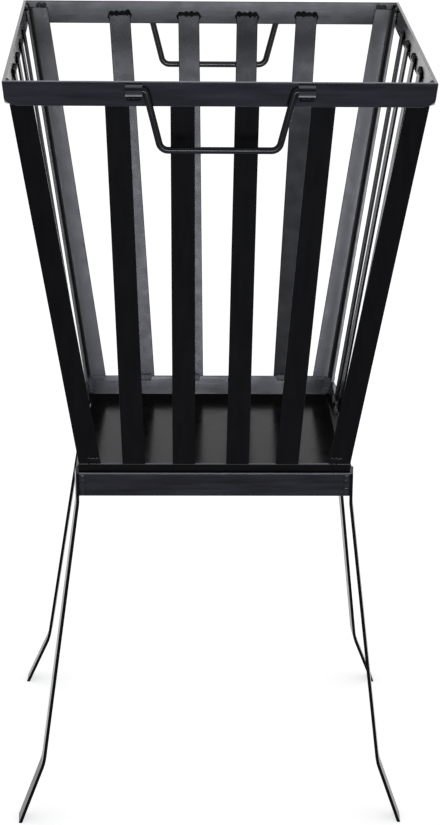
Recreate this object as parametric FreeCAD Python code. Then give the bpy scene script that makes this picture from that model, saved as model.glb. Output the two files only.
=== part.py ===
import FreeCAD, Part
import math
import os

# Square fire basket on a four-legged stand, made of black flat bar, angle bar and round wire.
# Frame: millimetres, +Z up, origin on the ground under the middle, the front faces -Y.
# The basket's walls lean outward from the base ring to the rim, whose own bars lean less. The ring tapers
# like the walls, so the basket drops into the stand, and it lifts out by its two handles.

# Basket outline, across the outer faces of the bars
RIM_WIDTH = 370.0
RIM_TOP = 720.0              # height of the rim's outer top edge above the ground
RIM_LEAN_PART = 0.655        # the rim's bars lean this part of the basket's taper, bottom edge inward
RING_WIDTH = 251.0           # at the base ring's outer top edge
RING_TOP = 351.0             # height of that edge above the ground

# Bar stock
RIM_BAR = 21.7               # height of a rim bar, along its face
RING_BAR = 20.0              # height of a base ring bar, along the wall
BAND_THICK = 3.0             # rim and ring bars
SLAT_WIDTH = 20.8
SLAT_THICK = 2.0
POST_LEG = 20.0              # leg of the corner posts' angle bar
POST_THICK = 3.0
ROOT_RADIUS = 3.0            # inside corner of the angle bar
EDGE_RADIUS = 0.6            # rolled edges of every flat bar and angle bar
PLATE_THICK = 1.5
PLATE_CLEARANCE = 0.1        # floor plate to the ring, each side
RIM_CORNER_RADIUS = 10.0     # ground lower corners of the rim, in the diagonal plane

# Where slats and posts end. Both lean against the rim's inner faces and stand on the ring's top edge.
SLAT_TOP_DROP = 13.5         # slats end below the rim's top edge
POST_TOP_DROP = 6.0          # posts end below the rim's top edge
SLAT_INSET = 0.3             # slats stand this far behind the ring's outer face

# Slats of each wall from left to right as seen from the front, or from the front to the back.
# Each pair is a slat's place at its top and bottom end, in parts of the clear half width between the posts.
FRONT_SLATS = ((-0.55, -0.71), (-0.20, -0.27), (0.145, 0.20), (0.555, 0.635))
BACK_SLATS = ((-0.565, -0.63), (-0.14, -0.16), (0.22, 0.30), (0.585, 0.72))
SIDE_SLATS = ((-0.515, -0.55), (-0.15, -0.16), (0.22, 0.245), (0.545, 0.545))

# Stand: four bars on edge and four flat-bar legs, which splay outward in both directions
RING_EXPOSED = 8.5           # part of the ring that stays above the stand
STAND_BAR = 22.0             # height of the stand's bars
STAND_THICK = 3.0
SEAT_CLEARANCE = 0.3         # ring to stand, each side
LEG_WIDTH = 20.0
LEG_THICK = 3.0
LEG_TURN = 4.5               # degrees by which the legs' faces turn towards the corners' diagonals
LEG_BEND_DROP = 6.0          # the legs stay straight this far below the stand's bars
KNEE_WIDTH = 318.5           # across the knees' outer faces, at the edges that face the front
KNEE_HEIGHT = 60.0
BACK_KNEE_HEIGHT = 56.0      # the back legs' knees are a little lower
FEET_WIDTH = 363.0           # the same across the feet, on the ground
FEET_DEPTH = 325.0           # front edge to back edge on the ground
KNEE_SHIFT = 1.3             # the legs stand a little askew: all knees sit this far to -X
FEET_SHIFT = 2.0             # and all feet this far
BACK_LEFT_KNEE_OUT = 7.2     # the back left leg is splayed further out than the others, at its knee
BACK_LEFT_FOOT_OUT = 8.0     # and at its foot
TOP_BEND_RADIUS = 30.0
KNEE_RADIUS = 50.0

# Wire handles and the half-round clips that hold them
WIRE = 6.0
PIVOT_CLEARANCE = 0.3        # wire to clip and to rim, all round
HANDLE_TOP_WIDTH = 126.5     # between the bends at the pivots
HANDLE_BOTTOM_WIDTH = 100.5  # between the bends at the grip
HANDLE_DROP = 51.2           # pivot axis to the middle of the grip
PIVOT_BEND_RADIUS = 3.4
GRIP_BEND_RADIUS = 8.0
FRONT_PIVOT_DROP = 6.9       # pivot axis below the rim's top edge
BACK_PIVOT_DROP = 11.8
BACK_HANDLE_SHIFT = 3.0      # the back handle sits this far off the middle, to +X
CLIP_LENGTH = 14.5
CLIP_THICK = 1.5
CLIP_END_GAP = 0.3           # clip to the bend beside it
WIRE_END_INSET = 0.5         # the wire ends this far inside its clip

# Weld beads
BEAD_TOP = 4.5               # height of the beads over the slats' and posts' top ends
BEAD_LAP = 2.0               # how far the beads at the slats' feet reach up the slats
BEAD_BOTTOM = 5.0            # how far the beads at the slats' and posts' feet reach down the ring
BEAD_BULGE = 1.8             # how far the beads at the slats' feet stand off the ring's inner face
BEAD_SIDE = 3.0              # they stop this far short of the slat's edges
BEAD_POST = 6.0              # height of the beads on the ring's top edge, outside the posts
BEAD_POST_RUN = 12.0         # length of those beads
BEAD_CORNER = 4.0            # leg of the upright beads in the ring's inside corners
BEAD_INSET = 1.0             # the other beads stop this far short of a bar's edge
BEAD_CHORD = 5.6             # width of the stand's beads
BEAD_RISE = 1.2              # how far they stand proud

# Worked out from the sizes above
TAPER = math.atan((RIM_WIDTH - RING_WIDTH) / 2 / (RIM_TOP - RING_TOP))
RIM_TILT = RIM_LEAN_PART * TAPER
RIM_INSIDE = RIM_WIDTH / 2 - BAND_THICK / math.cos(RIM_TILT)
SLAT_TOP = RIM_TOP - SLAT_TOP_DROP
POST_TOP = RIM_TOP - POST_TOP_DROP
SLAT_TOUCH = RIM_INSIDE - SLAT_TOP_DROP * math.tan(RIM_TILT)
POST_TOUCH = RIM_INSIDE - POST_TOP_DROP * math.tan(RIM_TILT)
SLOPE = (SLAT_TOUCH - RING_WIDTH / 2 + SLAT_INSET) / (SLAT_TOP - RING_TOP)
LEAN = math.atan(SLOPE)
STAND_TOP = RING_TOP - RING_EXPOSED
STAND_BOTTOM = STAND_TOP - STAND_BAR
SAME_WAY = 0.8               # cosine under which an edge no longer counts as running along a bar
WALLS = ("front", "right", "back", "left")
LEG_EXTRA = {"back_left": (BACK_LEFT_KNEE_OUT, BACK_LEFT_FOOT_OUT)}
CORNERS = (("front_left", -1, -1), ("front_right", 1, -1), ("back_right", 1, 1), ("back_left", -1, 1))


def vec(x, y, z):
    return FreeCAD.Vector(x, y, z)


def half_width(z, depth):
    """Half width at height z of the square that lies this deep behind the ring's outer faces."""
    return RING_WIDTH / 2 + SLOPE * (z - RING_TOP) - depth / math.cos(LEAN)


def turned(placement, wall):
    """A placement for the front wall, turned to another wall."""
    turn = FreeCAD.Rotation(vec(0, 0, 1), 90 * WALLS.index(wall))
    return FreeCAD.Placement(vec(0, 0, 0), turn).multiply(placement)


def wall_placement(wall):
    """Wall frame to part frame: u across, v up the wall from the ring's outer top edge, n outward."""
    tilt = FreeCAD.Rotation(vec(1, 0, 0), 90 + math.degrees(LEAN))
    return turned(FreeCAD.Placement(vec(0, -RING_WIDTH / 2, RING_TOP), tilt), wall)


def rim_placement(wall):
    """The same for the rim, with v up its face from the rim's outer top edge."""
    tilt = FreeCAD.Rotation(vec(1, 0, 0), 90 + math.degrees(RIM_TILT))
    return turned(FreeCAD.Placement(vec(0, -RIM_WIDTH / 2, RIM_TOP), tilt), wall)


def rim_point(v, n):
    """Half width and height of a point of the rim's section."""
    half = RIM_WIDTH / 2 + v * math.sin(RIM_TILT) + n * math.cos(RIM_TILT)
    return half, RIM_TOP + v * math.cos(RIM_TILT) - n * math.sin(RIM_TILT)


def wall_v(z, n):
    """Wall coordinate v of the point at height z and offset n."""
    return (z - RING_TOP + n * math.sin(LEAN)) / math.cos(LEAN)


def wall_z(v, n):
    return RING_TOP + v * math.cos(LEAN) - n * math.sin(LEAN)


def slat_face():
    """Wall coordinate n of the slats' outer faces."""
    return -SLAT_INSET * math.cos(LEAN)


def post_face():
    """The same for the posts, whose top ends touch the rim."""
    return (POST_TOUCH - half_width(POST_TOP, 0)) * math.cos(LEAN)


def prism(points, direction):
    """Solid from a closed flat outline, pushed along a vector."""
    return Part.Face(Part.makePolygon(points + points[:1])).extrude(direction)


def placed(shape, placement):
    moved = shape.copy()
    moved.Placement = placement.multiply(moved.Placement)
    return moved


def polyhedron(corners, faces):
    shell = Part.Shell([Part.Face(Part.makePolygon([corners[i] for i in f + f[:1]])) for f in faces])
    return Part.Solid(shell)


def eased(solid, along, kept=None):
    """The solid with its edges along a unit direction rounded, apart from the one that is kept."""
    edges = [e for e in solid.Edges if abs(e.tangentAt(e.FirstParameter).dot(along)) > SAME_WAY]
    return solid.makeFillet(EDGE_RADIUS, [e for e in edges if kept is None or not e.isSame(kept)])


def nearest_edge(solid, point):
    """The edge whose middle lies closest to a point."""
    return min(solid.Edges, key=lambda edge: (edge.CenterOfMass - point).Length)


def rounded_run(points, radii):
    """Edges along the points, with an arc of the given radius at each inner point."""
    edges = []
    start = points[0]
    for before, corner, after, radius in zip(points, points[1:], points[2:], radii):
        back = (before - corner).normalize()
        ahead = (after - corner).normalize()
        half_angle = back.getAngle(ahead) / 2
        cut = radius / math.tan(half_angle)
        middle = (back + ahead).normalize()
        reach = radius / math.sin(half_angle) - radius
        first = corner + back * cut
        last = corner + ahead * cut
        edges.append(Part.LineSegment(start, first).toShape())
        edges.append(Part.Arc(first, corner + middle * reach, last).toShape())
        start = last
    edges.append(Part.LineSegment(start, points[-1]).toShape())
    return edges


def mitred_bar(wall, section):
    """Flat bar along a wall, mitred at the corners of the square, from its section's (half width, height)."""
    corners = [vec(side * half, -half, z) for half, z in section for side in (-1, 1)]
    faces = ([0, 1, 3, 2], [2, 3, 5, 4], [4, 5, 7, 6], [6, 7, 1, 0], [0, 2, 4, 6], [1, 7, 5, 3])
    bar = eased(polyhedron(corners, faces), vec(1, 0, 0))
    bar.rotate(vec(0, 0, 0), vec(0, 0, 1), 90 * WALLS.index(wall))
    return bar


def bar_section(height):
    """Corners (v, n) of a flat bar on edge, from its outer top edge."""
    return (0, 0), (0, -BAND_THICK), (-height, -BAND_THICK), (-height, 0)


def corner_cutter(side_x, side_y):
    """What the grinder takes off a rim corner's lowest point, rounding it in the diagonal plane."""
    radius = RIM_CORNER_RADIUS
    low_half, low = rim_point(-RIM_BAR, 0)
    diagonal = math.sqrt(2)
    tip = diagonal * RIM_WIDTH / 2
    arc = rounded_run([vec(tip, 0, RIM_TOP), vec(diagonal * low_half, 0, low), vec(0, 0, low)], (radius,))[1]
    high_end = arc.valueAt(arc.FirstParameter)
    low_end = arc.valueAt(arc.LastParameter)
    beyond = tip + radius
    under = low - radius
    outside = [low_end, vec(low_end.x, 0, under), vec(beyond, 0, under), vec(beyond, 0, high_end.z), high_end]
    outline = Part.Wire([arc] + Part.makePolygon(outside).Edges)
    cutter = Part.Face(outline).extrude(vec(0, 4 * radius, 0))
    cutter.translate(vec(0, -2 * radius, 0))
    cutter.rotate(vec(0, 0, 0), vec(0, 0, 1), math.degrees(math.atan2(side_y, side_x)))
    return cutter


def rim_bar(wall):
    """Rim bar on edge, with its lower corners ground round."""
    section = [rim_point(v, n) for v, n in bar_section(RIM_BAR)]
    bar = mitred_bar(wall, section)
    for name, side_x, side_y in CORNERS:
        if wall in name:
            bar = bar.cut(corner_cutter(side_x, side_y))
    return bar.Solids[0]


def ring_bar(wall):
    """Base ring bar, which leans like the walls."""
    section = []
    for v, n in bar_section(RING_BAR):
        z = wall_z(v, n)
        section.append((half_width(z, -n), z))
    return mitred_bar(wall, section)


def ring_bottom_inside():
    """Height of the ring's inner bottom edge, where the floor plate lies."""
    return wall_z(-RING_BAR, -BAND_THICK)


def plate_top():
    return ring_bottom_inside() + PLATE_THICK


def floor_plate():
    half = half_width(ring_bottom_inside(), BAND_THICK) - PLATE_CLEARANCE
    return Part.makeBox(2 * half, 2 * half, PLATE_THICK, vec(-half, -half, ring_bottom_inside()))


def post_reach():
    """Width of a post's leg, measured level along the wall."""
    return POST_LEG / math.cos(math.atan(SLOPE * math.cos(LEAN)))


def post_bottom():
    """Height at which the posts stand on the ring's top edge."""
    return wall_z(0, -BAND_THICK)


def corner_post(side_x, side_y):
    """Angle bar from the ring's top edge up into the rim's corner."""
    bottom = post_bottom()
    corner = half_width(bottom, -post_face())
    thick = POST_THICK / math.cos(LEAN)
    reach = post_reach()
    outline = ((0, 0), (reach, 0), (reach, thick), (thick, thick), (thick, reach), (0, reach))
    points = [vec(side_x * (corner - a), side_y * (corner - b), bottom) for a, b in outline]
    rise = vec(side_x * SLOPE, side_y * SLOPE, 1) * (POST_TOP - bottom)
    bar = prism(points, rise)
    root = points[3] + rise * 0.5
    bar = eased(bar, rise.normalize(), nearest_edge(bar, root))
    return bar.makeFillet(ROOT_RADIUS, [nearest_edge(bar, root)])


def clear_half(z):
    """Half of the clear width between the posts at height z."""
    return half_width(z, -post_face()) - post_reach()


def slat_line(wall, places):
    """Bottom and top end of a slat's centre line on its outer face, in wall coordinates."""
    across = {"front": 1, "right": 1, "back": -1, "left": -1}[wall]
    u_top = across * places[0] * clear_half(SLAT_TOP)
    u_bottom = across * places[1] * clear_half(RING_TOP)
    return vec(u_bottom, 0, slat_face()), vec(u_top, wall_v(SLAT_TOP, slat_face()), slat_face())


def slat(wall, places):
    """Flat bar from the ring's top edge to the rim's inner face, fanning out upward."""
    low, high = slat_line(wall, places)
    run = (high - low).normalize()
    side = vec(SLAT_WIDTH / 2 / run.y, 0, 0)
    bar = prism([low - side, low + side, high + side, high - side], vec(0, 0, -SLAT_THICK))
    return placed(eased(bar, run), wall_placement(wall))


def wall_bead(wall, outline, u_start, u_end):
    """Bead with a (v, n) outline, from one u to another."""
    points = [vec(u_start, v, n) for v, n in outline]
    return placed(prism(points, vec(u_end - u_start, 0, 0)), wall_placement(wall))


def top_outline(z, face, thick):
    """Section of the bead between a bar's top end and the rim's inner face."""
    v = wall_v(z, face)
    spread = LEAN - RIM_TILT
    tip = (v + BEAD_TOP * math.cos(spread), face - BEAD_TOP * math.sin(spread))
    return (v, face), (v, face - thick), tip


def slat_top_bead(wall, places):
    u = slat_line(wall, places)[1].x
    half = SLAT_WIDTH / 2 - BEAD_INSET
    return wall_bead(wall, top_outline(SLAT_TOP, slat_face(), SLAT_THICK), u - half, u + half)


def slat_bottom_bead(wall, places):
    """Bead over the joint between a slat's foot and the ring, on the inside."""
    u = slat_line(wall, places)[0].x
    half = SLAT_WIDTH / 2 - BEAD_SIDE
    inner = slat_face() - SLAT_THICK
    bulge = (-BEAD_LAP / 2, -BAND_THICK - BEAD_BULGE)
    outline = ((BEAD_LAP, inner), (0, inner), (0, -BAND_THICK), (-BEAD_BOTTOM, -BAND_THICK), bulge)
    return wall_bead(wall, outline, u - half, u + half)


def both_ends(outline, start, end):
    """The same bead at both ends of every wall, from one distance off the middle to another."""
    return [wall_bead(wall, outline, side * start, side * end) for wall in WALLS for side in (-1, 1)]


def post_top_beads():
    """Beads on the posts' top ends, against the rim's inner faces."""
    corner = half_width(POST_TOP, -post_face())
    start = corner - post_reach() + BEAD_INSET
    end = corner - (POST_THICK + POST_TOP_DROP) / math.cos(LEAN)
    return both_ends(top_outline(POST_TOP, post_face(), POST_THICK), start, end)


def post_bottom_beads():
    """Beads at the posts' feet: on the ring's top edge outside, and on its inner face."""
    face = post_face()
    edge = half_width(post_bottom(), -face) - post_reach() + BEAD_INSET
    outer = ((0, 0), (0, face), (BEAD_POST, face))
    inner_n = face - POST_THICK
    inner = ((wall_v(post_bottom(), inner_n), inner_n), (0, -BAND_THICK), (-BEAD_BOTTOM, -BAND_THICK))
    end = half_width(wall_z(-BEAD_BOTTOM, -BAND_THICK), BAND_THICK) - BEAD_CORNER - BEAD_INSET
    return both_ends(outer, edge, edge + BEAD_POST_RUN) + both_ends(inner, edge, end)


def ring_corner_beads():
    """Upright beads in the ring's inside corners, above the floor plate."""
    low = plate_top() + BEAD_INSET
    high = wall_z(0, -BAND_THICK) - BEAD_INSET
    corner = half_width(low, BAND_THICK)
    beads = []
    for name, side_x, side_y in CORNERS:
        outline = ((0, 0), (BEAD_CORNER, 0), (0, BEAD_CORNER))
        points = [vec(side_x * (corner - a), side_y * (corner - b), low) for a, b in outline]
        beads.append(prism(points, vec(side_x * SLOPE, side_y * SLOPE, 1) * (high - low)))
    return beads


def seat_half():
    """Half of the stand's clear width, which the tapered ring sits in."""
    return half_width(STAND_TOP, 0) + SEAT_CLEARANCE


def leg_lean():
    """How far a leg's edges move outward from the stand's top to the ground, along the leg's own width."""
    turn = math.radians(LEG_TURN)
    across = FEET_WIDTH / 2 - seat_half()
    along = FEET_DEPTH / 2 - seat_half() - STAND_THICK
    return along * math.cos(turn) - across * math.sin(turn)


def leg_tilt():
    """Angle by which a leg leans forward or backward in its own plane."""
    return math.atan(leg_lean() / STAND_TOP)


def leg_level_width():
    """Width of a leg, measured level."""
    return LEG_WIDTH / math.cos(leg_tilt())


def leg_offset(x, z, side_y):
    """How far a leg's outer face stands off its top's inner face, from its front edge's x at height z."""
    turn = math.radians(LEG_TURN)
    edge = leg_lean() * (1 - z / STAND_TOP)
    if side_y > 0:
        edge -= leg_level_width()
    return (x - seat_half() + edge * math.sin(turn)) / math.cos(turn)


def leg(side_x, side_y, knee_out, foot_out):
    """Flat-bar leg: straight up the stand, splayed to the knee, then kicked out to the foot."""
    tilt = leg_tilt()
    spare = LEG_WIDTH
    knee_height = KNEE_HEIGHT if side_y < 0 else BACK_KNEE_HEIGHT
    heights = (STAND_TOP, STAND_BOTTOM - LEG_BEND_DROP, knee_height, 0)
    knee = leg_offset(KNEE_WIDTH / 2 + knee_out - side_x * KNEE_SHIFT, knee_height, side_y)
    foot = leg_offset(FEET_WIDTH / 2 + foot_out - side_x * FEET_SHIFT, 0, side_y)
    offsets = (LEG_THICK, LEG_THICK, knee, foot)
    line = [vec(x, 0, (z - STAND_TOP) / math.cos(tilt)) for x, z in zip(offsets, heights)]
    line[0] = line[0] + vec(0, 0, spare)
    line[3] = line[3] + (line[3] - line[2]).normalize() * spare
    inner = offset_line(line, LEG_THICK)
    outer_edges = rounded_run(line, (TOP_BEND_RADIUS, KNEE_RADIUS))
    inner_edges = rounded_run(inner, (TOP_BEND_RADIUS + LEG_THICK, KNEE_RADIUS + LEG_THICK))
    ends = [Part.LineSegment(a, b).toShape() for a, b in ((line[0], inner[0]), (line[3], inner[3]))]
    outline = Part.Wire(Part.__sortEdges__(outer_edges + inner_edges + ends))
    strip = Part.Face(outline).extrude(vec(0, LEG_WIDTH, 0))
    strip.rotate(vec(0, 0, 0), vec(1, 0, 0), -math.degrees(tilt))
    strip.rotate(vec(0, 0, 0), vec(0, 0, 1), -LEG_TURN)
    strip.translate(vec(seat_half(), -seat_half() - STAND_THICK, STAND_TOP))
    room = FEET_WIDTH + FEET_DEPTH
    strip = strip.common(Part.makeBox(room, 2 * room, STAND_TOP, vec(0, -room, 0)))
    strip = eased(strip.Solids[0], vec(0, 0, 1))
    if side_x < 0:
        strip = strip.mirror(vec(0, 0, 0), vec(1, 0, 0))
    if side_y > 0:
        strip = strip.mirror(vec(0, 0, 0), vec(0, 1, 0))
    return strip


def offset_line(line, distance):
    """The line of points moved sideways by a distance, towards -X, in the XZ plane."""
    normals = []
    for a, b in zip(line, line[1:]):
        run = (b - a).normalize()
        normals.append(vec(run.z, 0, -run.x))
    moved = [line[0] + normals[0] * distance]
    for corner, before, after in zip(line[1:], normals, normals[1:]):
        middle = (before + after).normalize()
        moved.append(corner + middle * (distance / middle.dot(before)))
    moved.append(line[-1] + normals[-1] * distance)
    return moved


def stand_cross_bar(side_y):
    """Front or back bar of the stand, between the left and right legs."""
    seat = seat_half()
    near = seat if side_y > 0 else -seat - STAND_THICK
    bar = Part.makeBox(2 * seat, STAND_THICK, STAND_BAR, vec(-seat, near, STAND_BOTTOM))
    return eased(bar, vec(1, 0, 0))


def stand_side_end(z):
    """Distance from the middle at which a side bar meets the legs' inner edges at height z."""
    turn = math.radians(LEG_TURN)
    edge = leg_lean() * (1 - z / STAND_TOP) - leg_level_width()
    rounding = EDGE_RADIUS * (math.sin(turn) + math.cos(turn) - 1)
    return seat_half() + STAND_THICK + edge * math.cos(turn) + rounding


def stand_side_bar(side_x):
    """Left or right bar of the stand, between the front and back legs."""
    low = stand_side_end(STAND_BOTTOM)
    high = stand_side_end(STAND_TOP)
    x = side_x * seat_half()
    outline = ((-low, STAND_BOTTOM), (low, STAND_BOTTOM), (high, STAND_TOP), (-high, STAND_TOP))
    bar = prism([vec(x, y, z) for y, z in outline], vec(side_x * STAND_THICK, 0, 0))
    return eased(bar, vec(0, 1, 0))


def bead_section(length):
    """Low round bead lying on the XZ plane, from x = 0 to -BEAD_CHORD, bulging to -Y, standing in Z."""
    left = vec(-BEAD_CHORD, 0, 0)
    right = vec(0, 0, 0)
    arc = Part.Arc(left, vec(-BEAD_CHORD / 2, -BEAD_RISE, 0), right).toShape()
    chord = Part.LineSegment(right, left).toShape()
    return Part.Face(Part.Wire([arc, chord])).extrude(vec(0, 0, length))


def stand_beads():
    """Upright beads where the stand's bars meet the legs."""
    beads = []
    length = STAND_BAR - 2 * BEAD_INSET
    low = STAND_BOTTOM + BEAD_INSET
    seat = seat_half()
    cross = bead_section(length)
    cross.translate(vec(seat - BEAD_RISE * math.tan(math.radians(LEG_TURN)), -seat - STAND_THICK, low))
    side = bead_section(length)
    side.rotate(vec(0, 0, 0), vec(0, 0, 1), 90)
    side = side.mirror(vec(0, 0, 0), vec(0, 1, 0))
    side.rotate(vec(0, 0, 0), vec(1, 0, 0), -math.degrees(leg_tilt()))
    side.translate(vec(seat + STAND_THICK, -stand_side_end(low), low))
    for bead in (cross, side):
        right_side = [bead, bead.mirror(vec(0, 0, 0), vec(0, 1, 0))]
        beads += right_side + [b.mirror(vec(0, 0, 0), vec(1, 0, 0)) for b in right_side]
    return beads


def pivot_n():
    """How far the handle's axis stands off the rim's outer face."""
    return WIRE / 2 + PIVOT_CLEARANCE


def pivot_point(wall, drop):
    """A point of the handle's axis, in the middle of the wall."""
    return rim_placement(wall).multVec(vec(0, -drop, pivot_n()))


def pivot_bend_length():
    """How far the bend at the pivot reaches along the axis."""
    lean = math.atan2(HANDLE_DROP, (HANDLE_TOP_WIDTH - HANDLE_BOTTOM_WIDTH) / 2)
    return PIVOT_BEND_RADIUS * math.tan(lean / 2)


def clip_start():
    """Distance from the handle's middle to the inner end of a clip."""
    return HANDLE_TOP_WIDTH / 2 + pivot_bend_length() + CLIP_END_GAP


def handle(wall, drop, shift):
    """Wire bail hanging straight down from its clips."""
    pivot = pivot_point(wall, drop)
    end = clip_start() + CLIP_LENGTH - WIRE_END_INSET
    top = HANDLE_TOP_WIDTH / 2
    bottom = HANDLE_BOTTOM_WIDTH / 2
    outline = ((-end, 0), (-top, 0), (-bottom, -HANDLE_DROP), (bottom, -HANDLE_DROP), (top, 0), (end, 0))
    points = [vec(shift + x, pivot.y, pivot.z + z) for x, z in outline]
    radii = (PIVOT_BEND_RADIUS, GRIP_BEND_RADIUS, GRIP_BEND_RADIUS, PIVOT_BEND_RADIUS)
    path = Part.Wire(rounded_run(points, radii))
    section = Part.Wire([Part.makeCircle(WIRE / 2, points[0], vec(1, 0, 0))])
    return path.makePipeShell([section], True, True)


def strap_side(radius, v, n):
    """Line, half circle and line around the wire at one radius, from the rim's face and back to it."""
    points = [vec(0, v - radius, 0), vec(0, v - radius, n), vec(0, v + radius, n), vec(0, v + radius, 0)]
    arc = Part.Arc(points[1], vec(0, v, n + radius), points[2]).toShape()
    lines = [Part.LineSegment(a, b).toShape() for a, b in (points[:2], points[2:])]
    return [lines[0], arc, lines[1]], points[0], points[3]


def handle_clip(wall, drop, side, shift):
    """Half-round strap over one end of the wire, with its two edges on the rim's outer face."""
    n = pivot_n()
    outer, outer_low, outer_high = strap_side(n + CLIP_THICK, -drop, n)
    inner, inner_low, inner_high = strap_side(n, -drop, n)
    ends = [Part.LineSegment(a, b).toShape() for a, b in ((outer_low, inner_low), (outer_high, inner_high))]
    strap = Part.Face(Part.Wire(Part.__sortEdges__(outer + inner + ends))).extrude(vec(CLIP_LENGTH, 0, 0))
    start = side * clip_start() if side > 0 else side * (clip_start() + CLIP_LENGTH)
    across = {"front": 1, "back": -1}[wall]
    strap.translate(vec(across * shift + start, 0, 0))
    return placed(strap, rim_placement(wall))


def nodes():
    """Every sub-part: its name and its solids."""
    out = {}
    for wall in WALLS:
        out["rim_bar_" + wall] = [rim_bar(wall)]
        out["base_ring_bar_" + wall] = [ring_bar(wall)]
    for name, side_x, side_y in CORNERS:
        out["corner_post_" + name] = [corner_post(side_x, side_y)]
        out["leg_" + name] = [leg(side_x, side_y, *LEG_EXTRA.get(name, (0, 0)))]
    out["floor_plate"] = [floor_plate()]
    top_beads = []
    bottom_beads = []
    layout = {"front": FRONT_SLATS, "back": BACK_SLATS, "left": SIDE_SLATS, "right": SIDE_SLATS}
    for wall in WALLS:
        for number, places in enumerate(layout[wall], 1):
            out["slat_%s_%d" % (wall, number)] = [slat(wall, places)]
            top_beads.append(slat_top_bead(wall, places))
            bottom_beads.append(slat_bottom_bead(wall, places))
    out["slat_top_welds"] = top_beads
    out["slat_bottom_welds"] = bottom_beads
    out["post_top_welds"] = post_top_beads()
    out["post_bottom_welds"] = post_bottom_beads()
    out["ring_corner_welds"] = ring_corner_beads()
    out["stand_bar_front"] = [stand_cross_bar(-1)]
    out["stand_bar_back"] = [stand_cross_bar(1)]
    out["stand_bar_left"] = [stand_side_bar(-1)]
    out["stand_bar_right"] = [stand_side_bar(1)]
    out["stand_corner_welds"] = stand_beads()
    for wall, drop, shift in (("front", FRONT_PIVOT_DROP, 0), ("back", BACK_PIVOT_DROP, BACK_HANDLE_SHIFT)):
        out["handle_" + wall] = [handle(wall, drop, shift)]
        for end, side in (("left", -1), ("right", 1)):
            across = side if wall == "front" else -side
            out["handle_clip_%s_%s" % (wall, end)] = [handle_clip(wall, drop, across, shift)]
    return out


def main():
    os.makedirs("parts", exist_ok=True)
    for name, solids in nodes().items():
        shape = solids[0] if len(solids) == 1 else Part.makeCompound(solids)
        shape.exportStep("parts/%s.step" % name)
    for wall, drop in (("front", FRONT_PIVOT_DROP), ("back", BACK_PIVOT_DROP)):
        point = pivot_point(wall, drop)
        print("pivot of handle_%s: y %.3f z %.3f" % (wall, point.y, point.z))
    print("walls lean %.2f degrees, stand's clear half width %.3f" % (math.degrees(LEAN), seat_half()))


main()
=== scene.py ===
import math

import bpy
import numpy as np
from mathutils import Matrix, Vector


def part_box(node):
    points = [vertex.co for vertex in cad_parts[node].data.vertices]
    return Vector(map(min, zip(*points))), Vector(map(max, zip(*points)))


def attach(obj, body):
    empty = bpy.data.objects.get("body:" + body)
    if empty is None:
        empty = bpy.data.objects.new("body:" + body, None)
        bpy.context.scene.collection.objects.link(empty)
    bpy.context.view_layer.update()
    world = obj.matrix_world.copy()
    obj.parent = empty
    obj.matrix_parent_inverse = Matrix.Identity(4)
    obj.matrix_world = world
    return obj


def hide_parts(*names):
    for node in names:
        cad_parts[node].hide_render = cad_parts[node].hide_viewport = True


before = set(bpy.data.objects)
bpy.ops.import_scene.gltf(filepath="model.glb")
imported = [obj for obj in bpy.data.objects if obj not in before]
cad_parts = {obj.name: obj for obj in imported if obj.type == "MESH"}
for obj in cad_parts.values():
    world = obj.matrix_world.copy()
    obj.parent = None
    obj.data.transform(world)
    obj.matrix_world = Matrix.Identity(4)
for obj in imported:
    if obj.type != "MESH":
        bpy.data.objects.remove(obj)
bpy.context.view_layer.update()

# Camera at the photograph's viewing angle: metres, degrees, pixels and millimetres
CAMERA_AT = (-0.0548, -2.2748, 1.1776)
CAMERA_PITCH = 19.844        # how far it looks down
CAMERA_YAW = 1.575           # how far it is turned to the right
CAMERA_ROLL = 0.635
FOCAL_PIXELS = 2508.5
IMAGE_HEIGHT = 825
SENSOR = 36.0

# Stage
FLOOR_SIZE = 40.0
FLOOR_GREY = 0.8
FLOOR_LIFT = 0.56            # glow that makes the floor white to the camera and in reflections
AMBIENT = 0.62               # strength of the world for all other rays

# Lamps: place, target, width, height, watts, angle of the grid in degrees
LAMPS = {
    "front_softbox": ((0.2, -3.2, 0.62), (0.1, 0, 0.5), 1.4, 0.8, 4.6, 35.0),
}
LAMP_COLOUR = (0.86, 0.88, 1.0)

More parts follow.
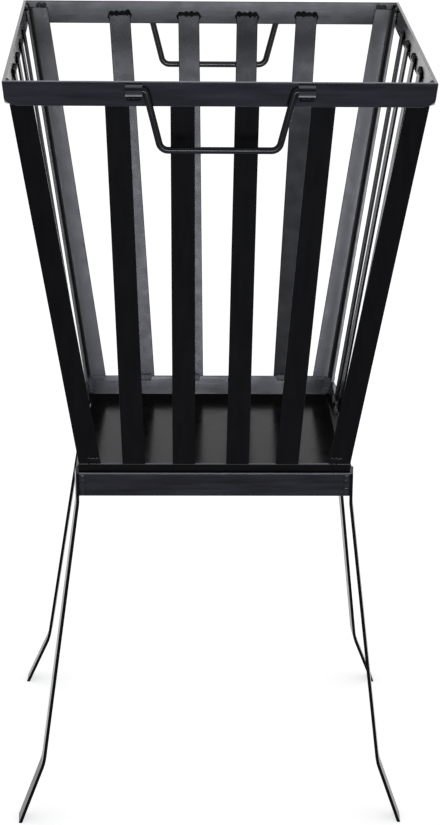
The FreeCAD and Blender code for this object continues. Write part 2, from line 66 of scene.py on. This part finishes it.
# Paints: shade, roughness, specular level, grain, lightness of the painted highlight on edges that face up or
# down, coolness
PAINTS = {
    "rim_paint": ((0.0080, 0.0080, 0.0108), 0.13, 0.170, 0.10, 0.20, 0.20),
    "side_rim_paint": ((0.0020, 0.0020, 0.0022), 0.16, 0.35, 0.08, 0.06, 0.0),
    "back_rim_paint": ((0.0020, 0.0020, 0.0022), 0.16, 0.100, 0.03, 0.06, 0.0),
    "ring_paint": ((0.0020, 0.0020, 0.0022), 0.20, 0.40, 0.08, 0.06, 0.0),
    "ring_front_paint": ((0.0010, 0.0010, 0.0011), 0.17, 0.050, 0.08, 0.13, 0.0),
    "stand_paint": ((0.0080, 0.0080, 0.0104), 0.15, 0.150, 0.12, 0.26, 0.16),
    "inner_paint": ((0.0020, 0.0020, 0.0024), 0.27, 0.205, 0.04, 0.02, 0.0),
    "third_slat_paint": ((0.0020, 0.0020, 0.0024), 0.27, 0.120, 0.04, 0.02, 0.0),
    "fourth_slat_paint": ((0.0020, 0.0020, 0.0024), 0.27, 0.148, 0.04, 0.02, 0.0),
    "post_paint": ((0.0020, 0.0020, 0.0022), 0.30, 0.30, 0.08, 0.02, 0.0),
    "right_post_paint": ((0.0020, 0.0020, 0.0022), 0.30, 0.42, 0.08, 0.02, 0.0),
    "matt_paint": ((0.0010, 0.0010, 0.0012), 0.17, 0.062, 0.08, 0.06, 0.12),
    "slat_paint": ((0.0010, 0.0010, 0.0012), 0.34, 0.062, 0.08, 0.06, 0.12),
    "plate_paint": ((0.0022, 0.0022, 0.0022), 0.17, 0.075, 0.03, 0.0, 0.0),
    "wire_paint": ((0.0020, 0.0020, 0.0024), 0.16, 0.15, 0.05, 0.0, 0.12),
    "back_wire_paint": ((0.0020, 0.0020, 0.0022), 0.16, 0.34, 0.05, 0.0, 0.0),
    # the clips' lightness by slope is a painted reflection with painted highlights, see below
    "clip_paint": ((0.0010, 0.0010, 0.0014), 0.36, 0.06, 0.08, 0.0, 0.12),
    "dark_weld_paint": ((0.0010, 0.0010, 0.0011), 0.30, 0.06, 0.30, 0.01, 0.0),
    # the next two weld paints carry painted highlights: this one where a bead faces up or down, the next one
    # on a bead's sides, with none below
    "edge_highlight_weld_paint": ((0.0010, 0.0010, 0.0011), 0.30, 0.06, 0.30, 0.30, 0.0),
    "painted_highlight_weld_paint": ((0.0030, 0.0030, 0.0032), 0.30, 0.14, 0.30, 0.0, 0.0),
}
# Paint of a node by the start of its name, where the first row that fits counts
PAINT_OF = (
    ("rim_bar_front", "rim_paint"),
    ("rim_bar_back", "back_rim_paint"),
    ("rim_bar", "side_rim_paint"),
    ("base_ring_bar_front", "ring_front_paint"),
    ("base_ring", "ring_paint"),
    ("slat_front", "slat_paint"),
    ("slat_back_3", "third_slat_paint"),
    ("slat_back_4", "fourth_slat_paint"),
    ("slat_back", "inner_paint"),
    ("corner_post_back_right", "right_post_paint"),
    ("corner_post_back", "post_paint"),
    ("stand_bar", "stand_paint"),
    ("handle_clip", "clip_paint"),
    ("handle_back", "back_wire_paint"),
    ("handle", "wire_paint"),
    ("floor_plate", "plate_paint"),
    ("", "matt_paint"),
)
EDGE_FROM = 0.45             # slope of the surface at which the painted highlight on an edge begins
EDGE_TO = 0.95               # slope from which it is as light as it gets
EDGE_TINT = (0.90, 0.95, 1.06)  # colour of the painted highlight that is added to the shade at a lightness of 1
# Two paints get their own painted light: a painted reflection with painted highlights on the clips, and a
# painted highlight on the sides of the lit welds; lightness at slopes from -1, facing down, to 1, facing up
PAINTED_LIGHT_BY_SLOPE = {
    "clip_paint": ((-0.95, 0.14), (-0.74, 0.32), (-0.55, 0.07), (-0.35, 0.034), (-0.14, 0.020), (0.06, 0.005),
                   (0.60, 0.003), (0.82, 0.05), (0.96, 0.11)),
    "painted_highlight_weld_paint": ((-0.36, 0.0), (-0.10, 0.115), (0.50, 0.115), (0.80, 0.004)),
}
# One paint is dull below: height at which that begins, height from which it is full, roughness that it adds
DULL_BELOW = {"fourth_slat_paint": (0.655, 0.605, 0.18)}
COOL_GREEN = 0.9             # what green loses in a cool paint's reflections, in parts of what red loses

# Noises in the paint: scale and detail
CLOUD = (38.0, 4.0)          # behind the uneven shade
GLOSS = (90.0, 3.0)          # behind the uneven gloss
PEEL = (600.0, 2.0)          # behind the fine grain
SWELL = (60.0, 3.0)          # behind the shallow lumps
NOISE_RANGE = (0.3, 0.7)     # values of a noise that are spread over the next two ranges
SHADE_RANGE = (0.3, 1.7)     # darkest and lightest shade, in parts of the paint's own
GLOSS_RANGE = (-0.03, 0.04)  # least and most that is added to the roughness
PEEL_HEIGHT = 0.0001
SWELL_HEIGHT = 0.0006
STREAKS_LEVEL = (0.5, 0.5, 6.0)    # how fast the paint's streaks vary along x, y and z on level bars
STREAKS_UPRIGHT = (4.0, 4.0, 0.4)  # the same on all other pieces
LEVEL_PAINTS = (
    "rim_paint", "side_rim_paint", "back_rim_paint", "ring_paint", "ring_front_paint", "stand_paint",
)

# Weld beads: CAD group, body that carries it, lumps per bead, paint in front and at the back
WELDS = (
    # the lightness of these beads' paints is a painted highlight
    ("slat_bottom_welds", "basket", 4, "painted_highlight_weld_paint", "painted_highlight_weld_paint"),
    ("post_top_welds", "basket", 2, "post_paint", "post_paint"),
    ("post_bottom_welds", "basket", 3, "edge_highlight_weld_paint", "painted_highlight_weld_paint"),
    ("ring_corner_welds", "basket", 5, "painted_highlight_weld_paint", "painted_highlight_weld_paint"),
    ("stand_corner_welds", "stand", 5, "stand_paint", "stand_paint"),
)
BEAD_STEPS = 36              # steps along a bead from ring to ring of points
BEAD_SIDES = 14              # points in a ring
BEAD_WAIST = 0.74            # thickness between two lumps, in parts of the bead's section
BEAD_LUMP = 0.36             # what a lump adds to that
BEAD_TAPER = 0.4             # what the section loses at a bead's ends
BEAD_SHOULDER = 8            # power with which it does so
BEAD_UNEVEN = 0.30           # how much the lumps differ in size
BEAD_WAVES = (2.3, 5.1)      # waves of that along a bead, and from bead to bead

# Beads that run over the slats' top ends
ARCH_STEPS = 64              # steps along such a bead
ARCH_SOFT = 6                # steps to each side over which its corners are rounded
ARCH_THICK = 0.0013          # half its thickness
ARCH_TALL = 1.0              # how much taller it is over the slat's end, in parts of that
ARCH_SHIFT = 0.0010          # how far its middle stands above the slat's end
ARCH_THIN = 0.5              # its thickness beside the slat, in parts of that
ARCH_DROP = 0.0055           # how far it runs down beside the slat
ARCH_OUT = 0.0003            # how far it stands off the slat's edges
ARCH_LUMPS = 6               # lumps along it
ARCH_WAIST = 0.60            # thickness between two of its lumps
ARCH_LUMP = 0.62             # what a lump adds to that

# Beads along the handle clips: on the top edge or not, length in parts of the clip, half depth, half height
# and height of the middle above the edge
CLIP_BEADS = {
    "clip_top_beads": (True, 1.0, 0.0011, 0.0011, 0.0),
    # dark beads below the clips: a painted shadow of the clips on the rim
    "clip_shadow_beads": (False, 0.85, 0.0009, 0.0022, -0.0024),
}
CLIP_LUMPS = 5               # lumps along a clip's bead
POINT_DIGITS = 6             # points that agree to this many decimals of a metre are one point


def node_tree(owner):
    """Empties a node tree and gives a helper that adds nodes and links to it."""
    owner.use_nodes = True
    tree = owner.node_tree
    tree.nodes.clear()

    def add(kind, inputs=None, **settings):
        node = tree.nodes.new(kind)
        for key, value in settings.items():
            setattr(node, key, value)
        for key, value in (inputs or {}).items():
            if isinstance(value, bpy.types.NodeSocket):
                tree.links.new(value, node.inputs[key])
            else:
                node.inputs[key].default_value = value
        return node

    return add


def white_rays(add):
    """1 for rays from the camera and for reflected and refracted rays, otherwise 0."""
    path = add("ShaderNodeLightPath")
    seen = add("ShaderNodeMath", {0: path.outputs["Is Camera Ray"], 1: path.outputs["Is Glossy Ray"]},
               operation="MAXIMUM")
    return add("ShaderNodeMath", {0: seen.outputs[0], 1: path.outputs["Is Transmission Ray"]},
               operation="MAXIMUM").outputs[0]


def make_world():
    """A plain white world that looks brighter than it lights."""
    world = bpy.data.worlds.new("studio")
    bpy.context.scene.world = world
    add = node_tree(world)
    strength = add("ShaderNodeMapRange", {"Value": white_rays(add), "To Min": AMBIENT, "To Max": 1.0})
    background = add("ShaderNodeBackground", {"Color": (1, 1, 1, 1), "Strength": strength.outputs[0]})
    add("ShaderNodeOutputWorld", {"Surface": background.outputs[0]})


def make_floor():
    """A pale floor that takes the object's shadow."""
    material = bpy.data.materials.new("floor")
    add = node_tree(material)
    matte = add("ShaderNodeBsdfDiffuse", {"Color": (FLOOR_GREY, FLOOR_GREY, FLOOR_GREY, 1)})
    lift = add("ShaderNodeMath", {0: white_rays(add), 1: FLOOR_LIFT}, operation="MULTIPLY")
    glow = add("ShaderNodeEmission", {"Strength": lift.outputs[0]})
    both = add("ShaderNodeAddShader", {0: matte.outputs[0], 1: glow.outputs[0]})
    add("ShaderNodeOutputMaterial", {"Surface": both.outputs[0]})
    half = FLOOR_SIZE / 2
    corners = [(-half, -half, 0), (half, -half, 0), (half, half, 0), (-half, half, 0)]
    floor = mesh_piece("floor", corners, [(0, 1, 2, 3)], material)


def make_lamps():
    """Softboxes with grids."""
    for name, (place, target, width, height, watts, grid) in LAMPS.items():
        data = bpy.data.lights.new(name, "AREA")
        data.shape = "RECTANGLE"
        data.size = width
        data.size_y = height
        data.energy = watts
        data.spread = math.radians(grid)
        data.color = LAMP_COLOUR
        lamp = bpy.data.objects.new(name, data)
        lamp.location = place
        lamp.rotation_mode = "QUATERNION"
        lamp.rotation_quaternion = (Vector(target) - Vector(place)).to_track_quat("-Z", "Y")
        bpy.context.scene.collection.objects.link(lamp)


def make_camera():
    """The camera, turned about the vertical, tipped down and rolled."""
    data = bpy.data.cameras.new("camera")
    data.sensor_width = SENSOR
    data.lens = FOCAL_PIXELS * SENSOR / IMAGE_HEIGHT
    camera = bpy.data.objects.new("camera", data)
    turn = Matrix.Rotation(math.radians(-CAMERA_YAW), 4, "Z")
    tip = Matrix.Rotation(math.radians(90 - CAMERA_PITCH), 4, "X")
    roll = Matrix.Rotation(math.radians(CAMERA_ROLL), 4, "Z")
    camera.matrix_world = Matrix.Translation(CAMERA_AT) @ turn @ tip @ roll
    bpy.context.scene.collection.objects.link(camera)
    bpy.context.scene.camera = camera


def edge_highlight(edge):
    """Painted highlight by slope, on the faces and edges of a bar that face up or down."""
    return (-EDGE_TO, edge), (-EDGE_FROM, 0.0), (EDGE_FROM, 0.0), (EDGE_TO, edge)


def slope_ramp(add, normal, painted_light):
    """Painted light: a colour that follows the surface's slope."""
    slope = add("ShaderNodeSeparateXYZ", {0: normal}).outputs["Z"]
    place = add("ShaderNodeMapRange", {"Value": slope, "From Min": -1.0, "From Max": 1.0})
    node = add("ShaderNodeValToRGB", {"Fac": place.outputs[0]})
    stops = node.color_ramp.elements
    while len(stops) < len(painted_light):
        stops.new(1.0)
    for stop, (at, light) in zip(stops, painted_light):
        stop.position = (at + 1) / 2
        stop.color = (*(light * part for part in EDGE_TINT), 1)
    return node.outputs["Color"]


def noise(add, place, scale, detail):
    """A noise over the surface."""
    return add("ShaderNodeTexNoise", {"Vector": place, "Scale": scale, "Detail": detail}).outputs["Fac"]


def noise_between(add, place, kind, low, high):
    """A noise that is spread between two values."""
    least, most = NOISE_RANGE
    return add("ShaderNodeMapRange", {"Value": noise(add, place, *kind), "From Min": least, "From Max": most,
                                      "To Min": low, "To Max": high}).outputs[0]


def duller_below(add, place, rough, begin, full, more):
    """The roughness with what is added to it below a height."""
    height = add("ShaderNodeSeparateXYZ", {0: place}).outputs["Z"]
    dull = add("ShaderNodeMapRange", {"Value": height, "From Min": begin, "From Max": full, "To Max": more})
    return add("ShaderNodeMath", {0: rough, 1: dull.outputs[0]}, operation="ADD").outputs[0]


def black_paint(name, shade, roughness, specular, grain, edge, cool):
    """Black paint with a fine grain, shallow lumps, an uneven shade and gloss, and painted light that follows
    the surface's slope, such as painted highlights on edges.
    """
    material = bpy.data.materials.new(name)
    add = node_tree(material)
    space = add("ShaderNodeTexCoord")
    place = space.outputs["Object"]
    streaks = STREAKS_LEVEL if name in LEVEL_PAINTS else STREAKS_UPRIGHT
    drawn = add("ShaderNodeVectorMath", {0: place, 1: streaks}, operation="MULTIPLY").outputs[0]
    tint = noise_between(add, drawn, CLOUD, *SHADE_RANGE)
    colour = add("ShaderNodeVectorMath", {0: shade, "Scale": tint}, operation="SCALE")
    # painted light by slope: highlights on edges that face up or down, and the clips' painted reflection
    painted_light = slope_ramp(add, space.outputs["Normal"], PAINTED_LIGHT_BY_SLOPE.get(name) or edge_highlight(edge))
    colour_and_painted_light = add("ShaderNodeVectorMath", {0: colour.outputs[0], 1: painted_light}, operation="ADD")
    rough = noise_between(add, place, GLOSS, *(roughness + change for change in GLOSS_RANGE))
    if name in DULL_BELOW:
        rough = duller_below(add, place, rough, *DULL_BELOW[name])
    fine = add("ShaderNodeBump", {"Height": noise(add, place, *PEEL), "Strength": grain,
                                  "Distance": PEEL_HEIGHT})
    bump = add("ShaderNodeBump", {"Height": noise(add, drawn, *SWELL), "Strength": grain,
                                  "Distance": SWELL_HEIGHT, "Normal": fine.outputs[0]})
    shader = add("ShaderNodeBsdfPrincipled", {"Base Color": colour_and_painted_light.outputs[0], "Roughness": rough,
                                              "Normal": bump.outputs[0], "Specular IOR Level": specular,
                                              "Specular Tint": (1 - cool, 1 - cool * COOL_GREEN, 1, 1)})
    add("ShaderNodeOutputMaterial", {"Surface": shader.outputs[0]})
    return material


def paint_nodes(paints):
    """Gives every node of the CAD model its paint."""
    for name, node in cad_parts.items():
        paint = next(paint for start, paint in PAINT_OF if name.startswith(start))
        node.data.materials.clear()
        node.data.materials.append(paints[paint])


def mesh_piece(name, points, faces, material):
    """A new mesh object with smooth faces and one material."""
    mesh = bpy.data.meshes.new(name)
    mesh.from_pydata([tuple(p) for p in points], [], faces)
    mesh.polygons.foreach_set("use_smooth", [True] * len(mesh.polygons))
    mesh.materials.append(material)
    piece = bpy.data.objects.new(name, mesh)
    bpy.context.scene.collection.objects.link(piece)
    return piece


def solids_of(node):
    """Corner points of each separate solid of a CAD node."""
    numbers = {}
    ids = []
    for vertex in node.data.vertices:
        point = tuple(round(c, POINT_DIGITS) for c in vertex.co)
        ids.append(numbers.setdefault(point, len(numbers)))
    group = list(range(len(numbers)))

    def first(i):
        while group[i] != i:
            i = group[i]
        return i

    for edge in node.data.edges:
        a, b = edge.vertices
        group[first(ids[a])] = first(ids[b])
    solids = {}
    for point, number in numbers.items():
        solids.setdefault(first(number), []).append(point)
    return [np.array(points) for points in solids.values()]


def straight_axes(points):
    """Middle, axes and half sizes of a straight bead or bar, its long axis first."""
    spread = points - points.mean(0)
    axes = np.linalg.svd(spread, full_matrices=False)[2]
    reach = spread @ axes.T
    low, high = reach.min(0), reach.max(0)
    return points.mean(0) + (low + high) / 2 @ axes, axes, (high - low) / 2


def skin(start, rings, faces):
    """Adds the faces of a closed tube made of rings of points, from the first point's number."""
    for i in range(rings - 1):
        for k in range(BEAD_SIDES):
            a = start + i * BEAD_SIDES + k
            b = start + i * BEAD_SIDES + (k + 1) % BEAD_SIDES
            faces.append((a, b, b + BEAD_SIDES, a + BEAD_SIDES))
    last = start + (rings - 1) * BEAD_SIDES
    faces.append(tuple(range(start + BEAD_SIDES - 1, start - 1, -1)))
    faces.append(tuple(range(last, last + BEAD_SIDES)))


def add_ring(centre, first, second, points):
    """Adds an oval of points around a centre."""
    for k in range(BEAD_SIDES):
        angle = 2 * math.pi * k / BEAD_SIDES
        points.append(centre + first * math.cos(angle) + second * math.sin(angle))


def lump_size(part, lumps, number, waist=BEAD_WAIST, lump=BEAD_LUMP):
    """Thickness along a bead, where part runs from 0 to 1, with lumps that differ from bead to bead."""
    along, across = BEAD_WAVES
    uneven = 1 - BEAD_UNEVEN * math.sin(2 * math.pi * along * part + across * number)
    return waist + lump * abs(math.sin(math.pi * lumps * part)) * uneven


def lumpy_bead(middle, axes, half, lumps, points, faces):
    """Adds a closed oval bead with a row of lumps to the points and faces of a mesh."""
    start = len(points)
    for i in range(BEAD_STEPS + 1):
        along = 2 * i / BEAD_STEPS - 1
        size = lump_size(i / BEAD_STEPS, lumps, start) * (1 - BEAD_TAPER * along ** BEAD_SHOULDER)
        centre = middle + axes[0] * half[0] * along
        add_ring(centre, axes[1] * half[1] * size, axes[2] * half[2] * size, points)
    skin(start, BEAD_STEPS + 1, faces)


def slat_end(name):
    """Middle of a slat's top end, its axes up, across and inward, and half its width."""
    middle, axes, half = straight_axes(solids_of(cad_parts[name])[0])
    up = axes[0] * np.sign(axes[0][2])
    inward = axes[2] * -np.sign(axes[2][:2] @ middle[:2])
    return middle + up * half[0], up, axes[1], inward, half[1]


def arch_bead(top, up, across, inward, half_width, points, faces):
    """Adds a lumpy bead that runs up one edge of a slat, over its top end and down the other edge."""
    reach = half_width + ARCH_OUT
    length = 2 * (reach + ARCH_DROP)
    run = np.linspace(0, length, ARCH_STEPS + 1)
    sides = np.clip(run - ARCH_DROP, 0, 2 * reach) - reach
    heights = np.minimum(np.minimum(run, length - run), ARCH_DROP) - ARCH_DROP
    window = np.ones(2 * ARCH_SOFT + 1) / (2 * ARCH_SOFT + 1)
    sides, heights = (np.convolve(np.pad(v, ARCH_SOFT, "edge"), window, "valid") for v in (sides, heights))
    start = len(points)
    path = [top + across * w + up * (r + ARCH_SHIFT) for w, r in zip(sides, heights)]
    for i, centre in enumerate(path):
        ahead = path[min(i + 1, ARCH_STEPS)] - path[max(i - 1, 0)]
        outward = np.cross(ahead / np.linalg.norm(ahead), inward)
        level = ARCH_THIN + (1 - ARCH_THIN) * (heights[i] / ARCH_DROP + 1)
        thick = ARCH_THICK * level * lump_size(i / ARCH_STEPS, ARCH_LUMPS, start, ARCH_WAIST, ARCH_LUMP)
        add_ring(centre, outward * thick * (1 + ARCH_TALL * abs(outward @ up)), inward * thick, points)
    skin(start, ARCH_STEPS + 1, faces)


def weld_piece(name, points, faces, paint, body, group=None, back_paint=None):
    """A mesh of beads on a body. It may stand in for a CAD group and have another paint at the back."""
    piece = mesh_piece(name, points, faces, paint)
    if back_paint:
        piece.data.materials.append(back_paint)
        for face in piece.data.polygons:
            face.material_index = int(face.center.y > 0)
    if group:
        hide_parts(group)
    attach(piece, body)


def make_welds(paints):
    """Lumpy beads in the places of the CAD model's weld groups."""
    for group, body, lumps, paint, back in WELDS:
        points, faces = [], []
        for solid in solids_of(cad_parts[group]):
            lumpy_bead(*straight_axes(solid), lumps, points, faces)
        other = paints[back] if back != paint else None
        weld_piece(group.replace("welds", "beads"), points, faces, paints[paint], body, group, other)


def make_slat_top_welds(paint):
    """Beads over the slats' top ends."""
    points, faces = [], []
    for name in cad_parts:
        if name.startswith("slat_") and not name.endswith("welds"):
            arch_bead(*slat_end(name), points, faces)
    weld_piece("slat_top_beads", points, faces, paint, "basket", "slat_top_welds")


def make_clip_welds(name, paint):
    """Thin beads along the clips' top or bottom edges, on the rim's outer faces; the dark beads below the
    clips are a painted shadow of the clips.
    """
    over, length, depth, tall, shift = CLIP_BEADS[name]
    points, faces = [], []
    for wall in ("front", "back"):
        low_rim, high_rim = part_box("rim_bar_" + wall)
        face = low_rim[1] if wall == "front" else high_rim[1]
        for end in ("left", "right"):
            low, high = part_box("handle_clip_%s_%s" % (wall, end))
            edge = high[2] if over else low[2]
            middle = np.array([(low[0] + high[0]) / 2, face, edge + shift])
            half = ((high[0] - low[0]) / 2 * length, depth, tall)
            lumpy_bead(middle, np.eye(3), half, CLIP_LUMPS, points, faces)
    weld_piece(name, points, faces, paint, "basket")


make_camera()
make_world()
make_floor()
make_lamps()
paints = {name: black_paint(name, *values) for name, values in PAINTS.items()}
paint_nodes(paints)
make_welds(paints)
make_slat_top_welds(paints["dark_weld_paint"])
for name in CLIP_BEADS:
    make_clip_welds(name, paints["dark_weld_paint"])
bpy.context.scene.view_settings.view_transform = "Standard"
